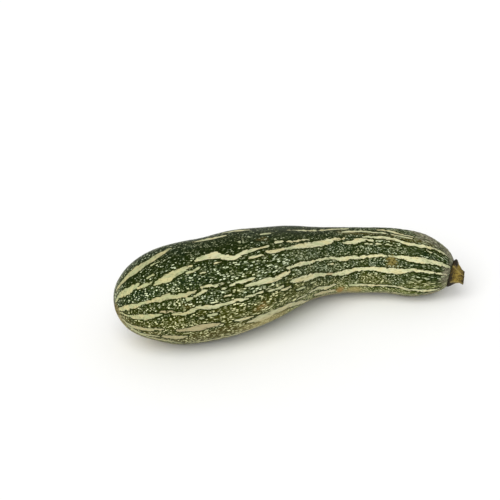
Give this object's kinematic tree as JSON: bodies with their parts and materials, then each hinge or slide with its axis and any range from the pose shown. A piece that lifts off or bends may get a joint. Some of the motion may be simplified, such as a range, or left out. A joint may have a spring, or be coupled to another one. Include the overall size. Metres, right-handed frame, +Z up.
{
  "type": "zucchini",
  "caption": "Necked zucchini, as picked: a full bulb that narrows to a bent neck, with a short cut stem. It lies on its belly.",
  "frame": {"origin": "under the middle of the part's bounding box, on the surface that it lies on", "axes": "+Z up; +X from the blossom end towards the stem, along the longest extent; +Y the way the neck bends"},
  "size_m": [0.2556, 0.126, 0.0731],
  "materials": {
    "skin": "satin vegetable skin, dark green with dense pale speckles and ragged cream stripes lengthwise",
    "stem": "dry, fibrous golden brown stem with five angles and a dark cut edge"
  },
  "bodies": {
    "root": {"fruit": "skin", "peduncle": "stem"}
  },
  "joints": []
}
